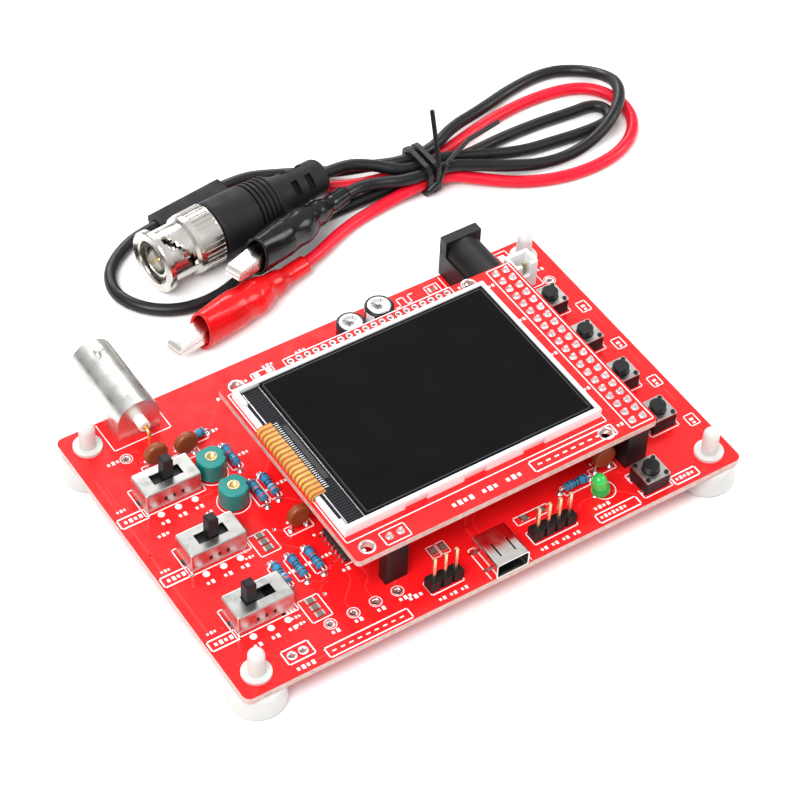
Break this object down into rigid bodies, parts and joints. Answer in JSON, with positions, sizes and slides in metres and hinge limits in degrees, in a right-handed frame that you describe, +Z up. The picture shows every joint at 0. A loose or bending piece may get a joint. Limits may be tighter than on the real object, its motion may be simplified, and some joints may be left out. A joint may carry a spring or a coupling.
{
  "type": "handheld oscilloscope",
  "caption": "Open-board pocket oscilloscope with plug-on colour display, slide switches, push buttons, coaxial input socket, power jack and a tied clip test lead.",
  "frame": {"origin": "centre of the main board outline, on the plane that its four feet stand on", "axes": "+X along the long edge of the board towards the push buttons, +Y towards the edge with the input socket and power jack, +Z up"},
  "size_m": [0.1695, 0.1333, 0.0233],
  "materials": {
    "board_red": "gloss",
    "black_plastic": "satin",
    "white_plastic": "satin",
    "nickel": "polished",
    "bright_steel": "satin",
    "tinned_brass": "satin",
    "gold": "polished",
    "display_glass": "gloss",
    "insulator_white": "satin",
    "trimmer_teal": "satin",
    "resistor_blue": "satin",
    "ceramic_brown": "satin",
    "can_sleeve": "gloss",
    "flex_amber": "gloss",
    "lamp_green": "gloss",
    "chip_black": "matte",
    "chip_ceramic": "satin",
    "red_vinyl": "gloss",
    "black_vinyl": "gloss",
    "red_sheath": "satin",
    "black_sheath": "satin"
  },
  "bodies": {
    "instrument": {"battery_header": "white_plastic", "bnc_insulator": "insulator_white", "bnc_pin": "tinned_brass", "bnc_shell": "black_plastic", "button_bases": "black_plastic", "button_covers": "bright_steel", "button_domes": "bright_steel", "chip_components": "chip_ceramic", "chip_leads": "bright_steel", "chip_packages": "chip_black", "component_leads": "bright_steel", "crystal_can": "nickel", "disc_capacitors": "ceramic_brown", "display_board": "board_red", "display_flex": "flex_amber", "display_frame": "white_plastic", "display_glass": "display_glass", "display_pins": "tinned_brass", "display_sockets": "black_plastic", "electrolytic_capacitors": "can_sleeve", "header_pins": "tinned_brass", "header_strips": "black_plastic", "jack_contacts": "bright_steel", "jack_housing": "black_plastic", "lamp_lens": "lamp_green", "main_board": "board_red", "resistor_bodies": "resistor_blue", "standoff_feet": "white_plastic", "switch_bases": "black_plastic", "switch_covers": "nickel", "switch_terminals": "bright_steel", "trimmer_bodies": "trimmer_teal", "usb_shell": "bright_steel", "usb_tongue": "black_plastic"},
    "test_lead": {"plug_body": "nickel", "plug_insulator": "insulator_white", "plug_pin": "gold", "plug_grip": "black_plastic", "coax_cable": "black_sheath", "lead_split": "black_vinyl", "red_wire": "red_sheath", "black_wire": "black_sheath", "cable_tie": "black_plastic", "red_clip_boot": "red_vinyl", "red_clip_lower_jaw": "nickel", "black_clip_boot": "black_vinyl", "black_clip_lower_jaw": "nickel"},
    "plug_ring": {"plug_coupling_ring": "nickel"},
    "red_jaw": {"red_clip_upper_jaw": "nickel"},
    "black_jaw": {"black_clip_upper_jaw": "nickel"},
    "coupling_switch": {"coupling_lever": "black_plastic"},
    "range_switch": {"range_lever": "black_plastic"},
    "multiplier_switch": {"multiplier_lever": "black_plastic"},
    "first_button": {"button_1": "black_plastic"},
    "second_button": {"button_2": "black_plastic"},
    "third_button": {"button_3": "black_plastic"},
    "fourth_button": {"button_4": "black_plastic"},
    "reset": {"reset_button": "black_plastic"},
    "first_trimmer": {"trimmer_screw_1": "tinned_brass"},
    "second_trimmer": {"trimmer_screw_2": "tinned_brass"}
  },
  "joints": [
    {"name": "lead_lift", "type": "slide", "parent": "instrument", "child": "test_lead", "axis": [0, 0, 1], "range_m": [0, 0.06]},
    {"name": "plug_ring_turn", "type": "hinge", "parent": "test_lead", "child": "plug_ring", "pos_m": [-0.0161, 0.0736, 0.00725], "axis": [0.9932, 0.1167, 0], "continuous": true},
    {"name": "red_jaw_open", "type": "hinge", "parent": "test_lead", "child": "red_jaw", "pos_m": [-0.01178, 0.05327, 0.0046], "axis": [-0.2554, 0.9668, 0], "range_deg": [0, 13], "stiffness_Nm_per_rad": 0.03, "springref_deg": -11.46},
    {"name": "black_jaw_open", "type": "hinge", "parent": "test_lead", "child": "black_jaw", "pos_m": [0.00692, 0.06257, 0.00947], "axis": [-0.3584, 0.9336, 0], "range_deg": [0, 13], "stiffness_Nm_per_rad": 0.03, "springref_deg": -11.46},
    {"name": "coupling_slide", "type": "slide", "parent": "instrument", "child": "coupling_switch", "axis": [1, 0, 0], "range_m": [-0.002, 0.002]},
    {"name": "range_slide", "type": "slide", "parent": "instrument", "child": "range_switch", "axis": [1, 0, 0], "range_m": [-0.002, 0.002]},
    {"name": "multiplier_slide", "type": "slide", "parent": "instrument", "child": "multiplier_switch", "axis": [1, 0, 0], "range_m": [0, 0.004]},
    {"name": "button_1_press", "type": "slide", "parent": "instrument", "child": "first_button", "axis": [0, 0, -1], "range_m": [0, 0.00025], "stiffness_N_per_m": 3000, "springref_m": -0.0001},
    {"name": "button_2_press", "type": "slide", "parent": "instrument", "child": "second_button", "axis": [0, 0, -1], "range_m": [0, 0.00025], "stiffness_N_per_m": 3000, "springref_m": -0.0001},
    {"name": "button_3_press", "type": "slide", "parent": "instrument", "child": "third_button", "axis": [0, 0, -1], "range_m": [0, 0.00025], "stiffness_N_per_m": 3000, "springref_m": -0.0001},
    {"name": "button_4_press", "type": "slide", "parent": "instrument", "child": "fourth_button", "axis": [0, 0, -1], "range_m": [0, 0.00025], "stiffness_N_per_m": 3000, "springref_m": -0.0001},
    {"name": "reset_press", "type": "slide", "parent": "instrument", "child": "reset", "axis": [0, 0, -1], "range_m": [0, 0.00025], "stiffness_N_per_m": 3000, "springref_m": -0.0001},
    {"name": "trimmer_1_turn", "type": "hinge", "parent": "instrument", "child": "first_trimmer", "pos_m": [-0.0356, 0.0144, 0.0078], "axis": [0, 0, 1], "continuous": true},
    {"name": "trimmer_2_turn", "type": "hinge", "parent": "instrument", "child": "second_trimmer", "pos_m": [-0.0356, 0.0056, 0.0078], "axis": [0, 0, 1], "continuous": true}
  ]
}
